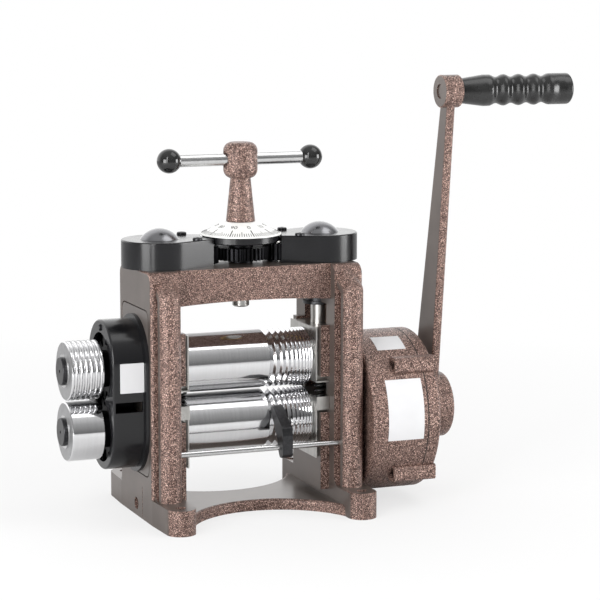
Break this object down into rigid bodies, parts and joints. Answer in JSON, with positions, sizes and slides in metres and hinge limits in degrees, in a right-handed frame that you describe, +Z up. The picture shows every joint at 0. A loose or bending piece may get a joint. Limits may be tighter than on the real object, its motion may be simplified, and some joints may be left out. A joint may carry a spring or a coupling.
{
  "type": "rolling mill",
  "caption": "Hand-cranked bench rolling mill for sheet and wire, with plain and grooved side rolls, a dialled roll-gap handle and a crank-driven gearbox.",
  "frame": {"origin": "centre of the base's underside, midway between the four bench bolt holes", "axes": "+X along the rolls towards the crank, +Y away from the person who feeds the rolls, +Z up"},
  "size_m": [0.4316, 0.1708, 0.3575],
  "materials": {
    "hammered_paint": "copper-brown hammered enamel",
    "dark_plate": "satin dark paint",
    "black_shell": "satin black moulding",
    "gloss_black": "polished black",
    "roll_steel": "ground and polished",
    "chrome_trim": "bright chrome",
    "machined_steel": "turned and milled",
    "gear_steel": "cut teeth, oiled",
    "dark_steel": "blackened",
    "spring_steel": "black spring wire",
    "bronze": "plain bearing bronze",
    "dial_white": "white, with printed graduations"
  },
  "bodies": {
    "frame": {"frame_casting": "hammered_paint", "side_cover_left": "dark_plate", "side_cover_right": "hammered_paint", "lower_bearing_blocks": "machined_steel", "lower_bushes": "bronze", "gear_guard": "black_shell", "gear_guard_screws": "dark_steel", "top_guard_left": "black_shell", "top_guard_right": "black_shell", "top_guard_screws": "dark_steel", "screw_caps": "chrome_trim", "screw_nuts": "machined_steel", "spindle_bush": "bronze", "idler_pins": "machined_steel", "gearbox_housing": "hammered_paint", "gearbox_cover": "hammered_paint", "gearbox_bolts": "dark_steel", "ring_gear": "gear_steel", "gearbox_mount_screws": "dark_steel", "shaft_bearing": "bronze", "crank_bearing": "bronze", "return_springs": "spring_steel"},
    "carriage": {"upper_bearing_blocks": "machined_steel", "upper_bushes": "bronze"},
    "screw_left": {"pressure_screw_left": "machined_steel", "screw_gear_left": "gear_steel"},
    "screw_right": {"pressure_screw_right": "machined_steel", "screw_gear_right": "gear_steel"},
    "handle": {"handle_boss": "hammered_paint", "handle_bar": "chrome_trim", "handle_knobs": "gloss_black", "dial": "dial_white", "dial_rim": "black_shell", "handle_spindle": "machined_steel", "centre_gear": "gear_steel", "spindle_nut": "machined_steel"},
    "idler_left": {"idler_gear_left": "gear_steel"},
    "idler_right": {"idler_gear_right": "gear_steel"},
    "lower_roll": {"lower_roll": "roll_steel", "lower_roll_gear": "gear_steel", "lower_side_roll": "roll_steel", "lower_end_bolt": "dark_steel", "lower_end_ring": "chrome_trim", "planet_carrier": "machined_steel"},
    "upper_roll": {"upper_roll": "roll_steel", "upper_roll_gear": "gear_steel", "upper_side_roll": "roll_steel", "upper_end_bolt": "dark_steel", "upper_end_ring": "chrome_trim"},
    "planet_1": {"planet_gear_1": "gear_steel"},
    "planet_2": {"planet_gear_2": "gear_steel"},
    "planet_3": {"planet_gear_3": "gear_steel"},
    "crank": {"crank_shaft": "machined_steel", "crank_arm": "hammered_paint", "hub_screw": "dark_steel", "grip_bolt": "dark_steel"},
    "grip": {"crank_grip": "gloss_black"},
    "guide_rod": {"guide_rod": "chrome_trim"},
    "guide_finger": {"guide_finger": "dark_steel"}
  },
  "joints": [
    {"name": "handle_turn", "type": "hinge", "parent": "frame", "child": "handle", "pos_m": [0, 0, 0.29], "axis": [0, 0, 1], "range_deg": [-288.5, 594.5]},
    {"name": "carriage_lift", "type": "slide", "parent": "frame", "child": "carriage", "axis": [0, 0, 1], "range_m": [-0.0016, 0.0033], "deforming": ["return_springs"]},
    {"name": "screw_left_turn", "type": "hinge", "parent": "carriage", "child": "screw_left", "pos_m": [-0.07, 0, 0.19], "axis": [0, 0, 1], "range_deg": [-288.5, 594.5]},
    {"name": "screw_right_turn", "type": "hinge", "parent": "carriage", "child": "screw_right", "pos_m": [0.07, 0, 0.19], "axis": [0, 0, 1], "range_deg": [-288.5, 594.5]},
    {"name": "idler_left_turn", "type": "hinge", "parent": "frame", "child": "idler_left", "pos_m": [-0.035, 0, 0.213], "axis": [0, 0, 1], "range_deg": [-919, 446]},
    {"name": "idler_right_turn", "type": "hinge", "parent": "frame", "child": "idler_right", "pos_m": [0.035, 0, 0.213], "axis": [0, 0, 1], "range_deg": [-919, 446]},
    {"name": "crank_turn", "type": "hinge", "parent": "frame", "child": "crank", "pos_m": [0.16, 0, 0.074], "axis": [1, 0, 0], "continuous": true},
    {"name": "lower_roll_turn", "type": "hinge", "parent": "frame", "child": "lower_roll", "pos_m": [0, 0, 0.074], "axis": [1, 0, 0], "continuous": true},
    {"name": "upper_roll_turn", "type": "hinge", "parent": "carriage", "child": "upper_roll", "pos_m": [0, 0, 0.1237], "axis": [1, 0, 0], "continuous": true},
    {"name": "planet_1_turn", "type": "hinge", "parent": "lower_roll", "child": "planet_1", "pos_m": [0.121, 0.036, 0.074], "axis": [1, 0, 0], "continuous": true},
    {"name": "planet_2_turn", "type": "hinge", "parent": "lower_roll", "child": "planet_2", "pos_m": [0.121, -0.018, 0.10518], "axis": [1, 0, 0], "continuous": true},
    {"name": "planet_3_turn", "type": "hinge", "parent": "lower_roll", "child": "planet_3", "pos_m": [0.121, -0.018, 0.04282], "axis": [1, 0, 0], "continuous": true},
    {"name": "grip_turn", "type": "hinge", "parent": "crank", "child": "grip", "pos_m": [0.225, -0.0434, 0.34403], "axis": [1, 0, 0], "continuous": true},
    {"name": "guide_swing", "type": "hinge", "parent": "frame", "child": "guide_rod", "pos_m": [0, -0.044, 0.057], "axis": [1, 0, 0], "range_deg": [0, 100]},
    {"name": "guide_slide", "type": "slide", "parent": "guide_rod", "child": "guide_finger", "axis": [1, 0, 0], "range_m": [-0.07, 0.026]}
  ],
  "couplings": [
    {"joint": "handle_turn", "follows": "carriage_lift", "rad_per_m": 3141.6},
    {"joint": "screw_left_turn", "follows": "carriage_lift", "rad_per_m": 3141.6},
    {"joint": "screw_right_turn", "follows": "carriage_lift", "rad_per_m": 3141.6},
    {"joint": "idler_left_turn", "follows": "carriage_lift", "rad_per_m": -4855.2},
    {"joint": "idler_right_turn", "follows": "carriage_lift", "rad_per_m": -4855.2},
    {"joint": "lower_roll_turn", "follows": "crank_turn", "ratio": 0.25},
    {"joint": "upper_roll_turn", "follows": "crank_turn", "ratio": -0.25},
    {"joint": "planet_1_turn", "follows": "crank_turn", "ratio": -0.75},
    {"joint": "planet_2_turn", "follows": "crank_turn", "ratio": -0.75},
    {"joint": "planet_3_turn", "follows": "crank_turn", "ratio": -0.75}
  ]
}
